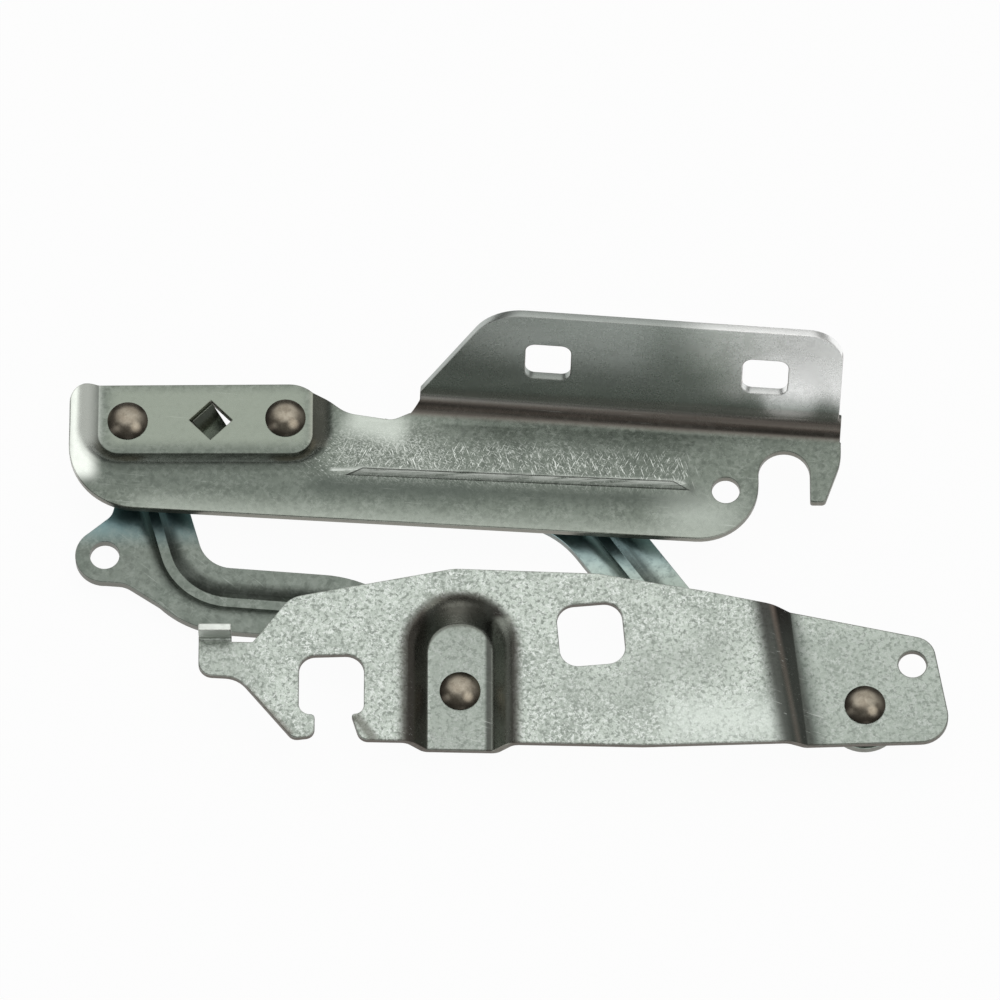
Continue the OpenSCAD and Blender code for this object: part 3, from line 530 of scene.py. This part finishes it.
lowerZinc = zincMaterial("lowerZinc", lowerLook)
upperZinc = zincMaterial("upperZinc", upperLook)
gooseneckZinc = zincMaterial("gooseneckZinc", linkLook)
longZinc = zincMaterial("longZinc", longLitLook)


# turned and peened parts: spots of tarnish, fine grain and painted shade on the sloping rim of the dome

turnedShared = {"spotRange": (0.35, 0.65), "grainRange": (0.55, 0.75), "grainAmount": 0.5, "roughRange": (0.3, 0.7),
                "rimFacing": (0.83, 0.95), "rimColour": (0.05, 0.042, 0.034, 1), "grainHeight": 0.4,
                "bumpDistance": 0.0002}


def turnedMaterial(name, look):
    material, tree, shader, coords = startMaterial(name)
    spots = noiseNode(tree, coords, look["spotScale"], 4.0, 0.65, 0.3)
    fine = noiseNode(tree, coords, look["fineScale"], 3.0, 0.6)
    edge = placeGroup(tree, edgeGroup, coords, Radius=look["edgeRadius"])
    colour = mixColour(tree, rangeNode(tree, spots, *turnedShared["spotRange"]), look["dark"], look["light"])
    grain = rangeNode(tree, fine, *turnedShared["grainRange"])
    colour = layColour(tree, grain, turnedShared["grainAmount"], colour, look["spot"])
    colour = layColour(tree, edge.outputs["Edge"], look["edgeAmount"], colour, look["edge"])
    # painted shade: the dome is darkened where it slopes away towards its rim
    rim = facingMask(tree, *turnedShared["rimFacing"])
    colour = layColour(tree, rim, look["rim"], colour, turnedShared["rimColour"])
    wire(tree, colour, shader.inputs["Base Color"])
    wire(tree, rangeNode(tree, spots, *turnedShared["roughRange"], *look["rough"]), shader.inputs["Roughness"])
    shader.inputs["Metallic"].default_value = 1.0
    height = mathNode(tree, "ADD", spots, mathNode(tree, "MULTIPLY", fine, turnedShared["grainHeight"]))
    addBump(tree, shader, height, look["bumpStrength"], turnedShared["bumpDistance"])
    return material


rivetLook = {"dark": (0.27, 0.236, 0.186, 1), "light": (0.37, 0.334, 0.27, 1), "spot": (0.46, 0.42, 0.35, 1),
             "edge": (0.50, 0.45, 0.39, 1), "spotScale": 420.0, "fineScale": 2200.0, "edgeRadius": 0.0004,
             "edgeAmount": 0.0, "rough": (0.2, 0.26), "bumpStrength": 0.06, "rim": 0.8}
washerLook = {"dark": (0.20, 0.205, 0.20, 1), "light": (0.30, 0.305, 0.295, 1), "spot": (0.44, 0.445, 0.425, 1),
              "edge": (0.66, 0.66, 0.63, 1), "spotScale": 260.0, "fineScale": 1600.0, "edgeRadius": 0.0003,
              "edgeAmount": 0.5, "rough": (0.3, 0.45), "bumpStrength": 0.2, "rim": 0.0}
bushLook = {"dark": (0.42, 0.29, 0.16, 1), "light": (0.60, 0.44, 0.26, 1), "spot": (0.72, 0.56, 0.36, 1),
            "edge": (0.75, 0.60, 0.40, 1), "spotScale": 300.0, "fineScale": 1800.0, "edgeRadius": 0.0003,
            "edgeAmount": 0.5, "rough": (0.3, 0.45), "bumpStrength": 0.2, "rim": 0.0}
rivetBrown = turnedMaterial("rivetBrown", rivetLook)
washerZinc = turnedMaterial("washerZinc", washerLook)
bushBronze = turnedMaterial("bushBronze", bushLook)
print("materials made")


# the four pressed sheets: the CAD mesh merged, its cut edges rolled

sheetShared = {"merge": 0.00001, "flat": 0.4, "sharp": 40, "crease": 32, "rollSteps": 2, "normalWeight": 80}
sheetSpecs = [
    {"node": "lower_bracket", "piece": "lowerSheet", "body": "lower", "slot": "lower_plate",
     "material": lowerZinc, "roll": 0.00035},
    {"node": "upper_bracket", "piece": "upperSheet", "body": "upper", "slot": "upper_plate",
     "material": upperZinc, "roll": 0.00035},
    {"node": "gooseneck_link", "piece": "gooseneckSheet", "body": "gooseneck", "slot": "link_steel",
     "material": gooseneckZinc, "roll": 0.0003},
    {"node": "long_link", "piece": "longSheet", "body": "long", "slot": "link_steel",
     "material": longZinc, "roll": 0.0003},
]


def markSharp(bm, degrees):
    for e in bm.edges:
        e.smooth = not (len(e.link_faces) == 2 and e.calc_face_angle(0) > math.radians(degrees))


def makeSheet(spec):
    mesh = bpy.data.meshes.new(spec["piece"])
    bm = bmesh.new()
    bm.from_mesh(cadNodes[spec["node"]].data)
    bmesh.ops.remove_doubles(bm, verts=bm.verts, dist=sheetShared["merge"])
    bmesh.ops.dissolve_limit(bm, angle_limit=math.radians(sheetShared["flat"]), verts=bm.verts, edges=bm.edges,
                             delimit={"NORMAL"})
    limit = math.radians(sheetShared["sharp"])
    cut = [e for e in bm.edges if len(e.link_faces) == 2 and e.calc_face_angle(0) > limit]
    bmesh.ops.bevel(bm, geom=cut, offset=spec["roll"], offset_type="OFFSET", segments=sheetShared["rollSteps"],
                    profile=0.5, affect="EDGES", clamp_overlap=False)
    bmesh.ops.triangulate(bm, faces=[f for f in bm.faces if len(f.verts) > 4])
    for face in bm.faces:
        face.smooth = True
    markSharp(bm, sheetShared["crease"])
    bm.to_mesh(mesh)
    bm.free()
    obj = bpy.data.objects.new(spec["piece"], mesh)
    scene.collection.objects.link(obj)
    weighted = obj.modifiers.new("areaNormals", "WEIGHTED_NORMAL")
    weighted.keep_sharp = True
    weighted.weight = sheetShared["normalWeight"]
    obj.data.materials.append(spec["material"])
    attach(obj, spec["body"])
    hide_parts(spec["node"])
    return obj


for spec in sheetSpecs:
    made = makeSheet(spec)
    print("sheet", made.name, len(made.data.polygons), "faces")


# turned rivets: one lathe tree, a profile for each pivot

rivetSize = {"neck": 4.0, "shoulder": 4.5, "flatHead": 8.0, "flatThick": 2.5, "dome": 6.4, "domeHigh": 2.4,
             "floor": -17.3, "shoulderTop": -10.35, "rimHigh": 0.35, "capSteps": 14, "segments": 72,
             "peen": 0.012, "peenStart": 0.8, "peenScale": 420.0, "latheMerge": 0.000004, "merge": 0.000002,
             "crease": 40}
rivetSpecs = [
    {"node": "lower_left_rivet", "body": "lower", "seed": 1.0},
    {"node": "lower_right_rivet", "body": "lower", "seed": 2.0},
    {"node": "upper_left_rivet", "body": "upper", "seed": 3.0},
    {"node": "upper_right_rivet", "body": "upper", "seed": 4.0},
]


def makeLatheTree():
    tree = bpy.data.node_groups.new("turnedRivet", "GeometryNodeTree")
    tree.is_modifier = True
    for label, kind in (("Profile", "NodeSocketGeometry"), ("Segments", "NodeSocketInt"),
                        ("Pivot", "NodeSocketVector"), ("Peen Depth", "NodeSocketFloat"),
                        ("Peen From", "NodeSocketFloat"), ("Seed", "NodeSocketFloat"),
                        ("Surface", "NodeSocketMaterial")):
        tree.interface.new_socket(name=label, in_out="INPUT", socket_type=kind)
    tree.interface.new_socket(name="Geometry", in_out="OUTPUT", socket_type="NodeSocketGeometry")
    gin = addNode(tree, "NodeGroupInput")
    gout = addNode(tree, "NodeGroupOutput")
    count = addNode(tree, "GeometryNodeAttributeDomainSize", component="MESH")
    wire(tree, gin.outputs["Profile"], count.inputs[0])
    ringPoints = mathNode(tree, "ADD", gin.outputs["Segments"], 1.0)
    grid = addNode(tree, "GeometryNodeMeshGrid")
    wire(tree, count.outputs["Point Count"], grid.inputs["Vertices X"])
    wire(tree, ringPoints, grid.inputs["Vertices Y"])
    index = addNode(tree, "GeometryNodeInputIndex").outputs[0]
    row = mathNode(tree, "FLOOR", mathNode(tree, "DIVIDE", mathNode(tree, "ADD", index, 0.5), ringPoints))
    column = mathNode(tree, "SUBTRACT", index, mathNode(tree, "MULTIPLY", row, ringPoints))
    stepAngle = mathNode(tree, "DIVIDE", 2.0 * math.pi, gin.outputs["Segments"])
    angle = mathNode(tree, "MULTIPLY", column, stepAngle)
    sample = addNode(tree, "GeometryNodeSampleIndex", data_type="FLOAT_VECTOR", domain="POINT")
    wire(tree, gin.outputs["Profile"], sample.inputs["Geometry"])
    wire(tree, addNode(tree, "GeometryNodeInputPosition").outputs[0], sample.inputs["Value"])
    wire(tree, row, sample.inputs["Index"])
    split = addNode(tree, "ShaderNodeSeparateXYZ")
    wire(tree, sample.outputs[0], split.inputs[0])
    place = addNode(tree, "ShaderNodeCombineXYZ")
    wire(tree, mathNode(tree, "MULTIPLY", split.outputs[0], mathNode(tree, "COSINE", angle)), place.inputs[0])
    wire(tree, mathNode(tree, "MULTIPLY", split.outputs[0], mathNode(tree, "SINE", angle)), place.inputs[1])
    wire(tree, split.outputs[2], place.inputs[2])
    lathe = addNode(tree, "GeometryNodeSetPosition")
    wire(tree, grid.outputs["Mesh"], lathe.inputs["Geometry"])
    wire(tree, place.outputs[0], lathe.inputs["Position"])
    merge = addNode(tree, "GeometryNodeMergeByDistance")
    wire(tree, lathe.outputs[0], merge.inputs["Geometry"])
    merge.inputs["Distance"].default_value = rivetSize["latheMerge"]
    # peening marks on the formed head, sunk only
    marks = addNode(tree, "ShaderNodeTexNoise", noise_dimensions="4D")
    wire(tree, addNode(tree, "GeometryNodeInputPosition").outputs[0], marks.inputs["Vector"])
    wire(tree, gin.outputs["Seed"], marks.inputs["W"])
    marks.inputs["Scale"].default_value = rivetSize["peenScale"]
    marks.inputs["Detail"].default_value = 1.0
    high = addNode(tree, "ShaderNodeSeparateXYZ")
    wire(tree, addNode(tree, "GeometryNodeInputPosition").outputs[0], high.inputs[0])
    onHead = mathNode(tree, "GREATER_THAN", high.outputs[2], gin.outputs["Peen From"])
    depth = mathNode(tree, "MULTIPLY", marks.outputs[0], gin.outputs["Peen Depth"])
    sink = mathNode(tree, "MULTIPLY", depth, onHead)
    down = addNode(tree, "ShaderNodeCombineXYZ")
    wire(tree, mathNode(tree, "MULTIPLY", sink, -1.0), down.inputs[2])
    peen = addNode(tree, "GeometryNodeSetPosition")
    wire(tree, merge.outputs[0], peen.inputs["Geometry"])
    wire(tree, down.outputs[0], peen.inputs["Offset"])
    smooth = addNode(tree, "GeometryNodeSetShadeSmooth")
    wire(tree, peen.outputs[0], smooth.inputs[0])
    move = addNode(tree, "GeometryNodeTransform")
    wire(tree, smooth.outputs[0], move.inputs["Geometry"])
    wire(tree, gin.outputs["Pivot"], move.inputs["Translation"])
    real = addNode(tree, "GeometryNodeRealizeInstances")
    wire(tree, move.outputs[0], real.inputs[0])
    paint = addNode(tree, "GeometryNodeSetMaterial")
    wire(tree, real.outputs[0], paint.inputs["Geometry"])
    wire(tree, gin.outputs["Surface"], paint.inputs["Material"])
    wire(tree, paint.outputs[0], gout.inputs[0])
    return tree


latheTree = makeLatheTree()


def rivetProfile(seat, top):
    # half section from the flat head up to the formed dome, radius and height in mm
    size = rivetSize
    low = size["floor"]
    shoulderLow = low + size["flatThick"]
    points = [(0, low), (size["flatHead"] - 0.5, low), (size["flatHead"] - 0.15, low + 0.15),
              (size["flatHead"], low + 0.5), (size["flatHead"], shoulderLow - 0.3),
              (size["flatHead"] - 0.3, shoulderLow), (size["shoulder"], shoulderLow),
              (size["shoulder"], size["shoulderTop"]), (size["neck"], size["shoulderTop"]),
              (size["neck"], seat), (size["dome"] - 0.2, seat), (size["dome"], seat + 0.15)]
    # spherical cap over a short rim
    rise = top - seat - size["rimHigh"]
    ball = (size["dome"] ** 2 + rise ** 2) / (2 * rise)
    sweep = math.asin(size["dome"] / ball)
    for step in range(size["capSteps"]):
        a = sweep * (1 - step / size["capSteps"])
        points.append((ball * math.sin(a), top - ball + ball * math.cos(a)))
    points.append((0, top))
    return points


def makeRivet(spec):
    low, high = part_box(spec["node"])
    pivot = (low + high) / 2
    top = high.z * 1000
    seat = top - rivetSize["domeHigh"]
    outline = rivetProfile(seat, top)
    mesh = bpy.data.meshes.new(spec["node"] + "Profile")
    mesh.from_pydata([(r * 0.001, 0, z * 0.001) for r, z in outline],
                     [(i, i + 1) for i in range(len(outline) - 1)], [])
    obj = bpy.data.objects.new(spec["node"] + "Turned", mesh)
    scene.collection.objects.link(obj)
    modifier = obj.modifiers.new("lathe", "NODES")
    modifier.node_group = latheTree
    sockets = {item.name: item.identifier for item in latheTree.interface.items_tree
               if item.in_out == "INPUT"}
    modifier[sockets["Segments"]] = rivetSize["segments"]
    modifier[sockets["Pivot"]] = (pivot.x, pivot.y, 0.0)
    modifier[sockets["Peen Depth"]] = rivetSize["peen"] * 0.001
    modifier[sockets["Peen From"]] = (seat + rivetSize["peenStart"]) * 0.001
    modifier[sockets["Seed"]] = spec["seed"]
    modifier[sockets["Surface"]] = rivetBrown
    depsgraph = bpy.context.evaluated_depsgraph_get()
    turned = bpy.data.meshes.new_from_object(obj.evaluated_get(depsgraph), depsgraph=depsgraph)
    obj.modifiers.remove(modifier)
    obj.data = turned
    bm = bmesh.new()
    bm.from_mesh(turned)
    bmesh.ops.remove_doubles(bm, verts=bm.verts, dist=rivetSize["merge"])
    bmesh.ops.recalc_face_normals(bm, faces=bm.faces)
    markSharp(bm, rivetSize["crease"])
    bm.to_mesh(turned)
    bm.free()
    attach(obj, spec["body"])
    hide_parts(spec["node"])
    return obj


for spec in rivetSpecs:
    made = makeRivet(spec)
    print("rivet", made.name, len(made.data.polygons), "faces")


# bushes, spacers and washers keep their own solids

for name, node in cadNodes.items():
    finish = None
    if name.endswith("_bush"):
        finish = bushBronze
    elif name.endswith("_spacer") or name.endswith("_washer"):
        finish = washerZinc
    if finish:
        node.data.materials.clear()
        node.data.materials.append(finish)
print("bushes, spacers and washers painted")


# floor, light and camera

floorSpec = {"size": 3.0, "height": -0.0174, "white": 0.96, "colour": (0.9, 0.9, 0.9, 1), "rough": 0.9}


def makeFloor():
    s = floorSpec["size"]
    mesh = bpy.data.meshes.new("tableTop")
    mesh.from_pydata([(-s, -s, 0), (s, -s, 0), (s, s, 0), (-s, s, 0)], [], [(0, 1, 2, 3)])
    mesh.transform(Matrix.Translation((0, 0, floorSpec["height"])))
    obj = bpy.data.objects.new("tableTop", mesh)
    scene.collection.objects.link(obj)
    material = bpy.data.materials.new("paperWhite")
    material.use_nodes = True
    tree = material.node_tree
    shader = tree.nodes["Principled BSDF"]
    shader.inputs["Base Color"].default_value = floorSpec["colour"]
    shader.inputs["Roughness"].default_value = floorSpec["rough"]
    shader.inputs["Specular IOR Level"].default_value = 0.0
    glow = addNode(tree, "ShaderNodeEmission")
    path = addNode(tree, "ShaderNodeLightPath")
    seen = mathNode(tree, "MAXIMUM", path.outputs["Is Camera Ray"], path.outputs["Is Glossy Ray"])
    seen = mathNode(tree, "MAXIMUM", seen, path.outputs["Is Transmission Ray"])
    mix = addNode(tree, "ShaderNodeMixShader")
    wire(tree, mathNode(tree, "MULTIPLY", seen, floorSpec["white"]), mix.inputs[0])
    wire(tree, shader.outputs[0], mix.inputs[1])
    wire(tree, glow.outputs[0], mix.inputs[2])
    wire(tree, mix.outputs[0], tree.nodes["Material Output"].inputs["Surface"])
    mesh.materials.append(material)


makeFloor()

worldSpec = {"roof": (0.0, 0.6, 0.8), "roofEdge": (0.72, 0.93), "roofColour": (1.0, 1.0, 0.99, 1),
             "side": (0.86, 0.42, 0.28), "sideEdge": (0.82, 0.96), "sideColour": (0.5, 0.5, 0.49, 1),
             "front": (0.1, -0.9, 0.42), "frontEdge": (0.9, 0.97), "frontColour": (0.95, 0.95, 0.94, 1),
             "key": (0.447, -0.065, 0.893), "keyEdge": (0.94, 0.985), "keyColour": (1.5, 1.48, 1.44, 1),
             "base": (0.17, 0.17, 0.165, 1)}


def makeWorld():
    # dim room with soft panels: in front, to the right, a roof behind the object and a small key above it
    world = bpy.data.worlds.new("softTent")
    scene.world = world
    world.use_nodes = True
    tree = world.node_tree
    back = tree.nodes["Background"]
    coords = addNode(tree, "ShaderNodeTexCoord").outputs["Generated"]
    colour = worldSpec["base"]
    for part in ("front", "side", "roof", "key"):
        dot = addNode(tree, "ShaderNodeVectorMath", operation="DOT_PRODUCT")
        wire(tree, coords, dot.inputs[0])
        dot.inputs[1].default_value = worldSpec[part]
        colour = mixColour(tree, rangeNode(tree, dot.outputs["Value"], *worldSpec[part + "Edge"]),
                           colour, worldSpec[part + "Colour"])
    wire(tree, colour, back.inputs["Color"])
    back.inputs["Strength"].default_value = 1.0


makeWorld()


def areaLamp(name, place, aim, size, watts):
    data = bpy.data.lights.new(name, "AREA")
    data.shape = "RECTANGLE"
    data.size, data.size_y = size
    data.energy = watts
    lamp = bpy.data.objects.new(name, data)
    lamp.location = place
    lamp.rotation_euler = (Vector(aim) - Vector(place)).to_track_quat("-Z", "Y").to_euler()
    scene.collection.objects.link(lamp)


lampAim = (-0.03, 0.04, 0)
areaLamp("topSoftbox", place=(-0.1, 0.5, 1.1), aim=lampAim, size=(0.9, 0.6), watts=0.5)
areaLamp("leftStrip", place=(-0.9, -0.1, 0.6), aim=lampAim, size=(0.3, 0.8), watts=0.4)

cameraSpec = {"aim": (-0.0285, 0.04604, 0.0), "far": 3.0, "tilt": 24.5, "lens": 342.9, "sensor": 36.0}
camData = bpy.data.cameras.new("photoCamera")
camData.sensor_width = cameraSpec["sensor"]
camData.lens = cameraSpec["lens"]
camera = bpy.data.objects.new("photoCamera", camData)
tilt = math.radians(cameraSpec["tilt"])
away = Vector((0, -math.sin(tilt), math.cos(tilt))) * cameraSpec["far"]
camera.location = Vector(cameraSpec["aim"]) + away
camera.rotation_euler = (tilt, 0, 0)
scene.collection.objects.link(camera)
scene.camera = camera
print("floor, light and camera set")
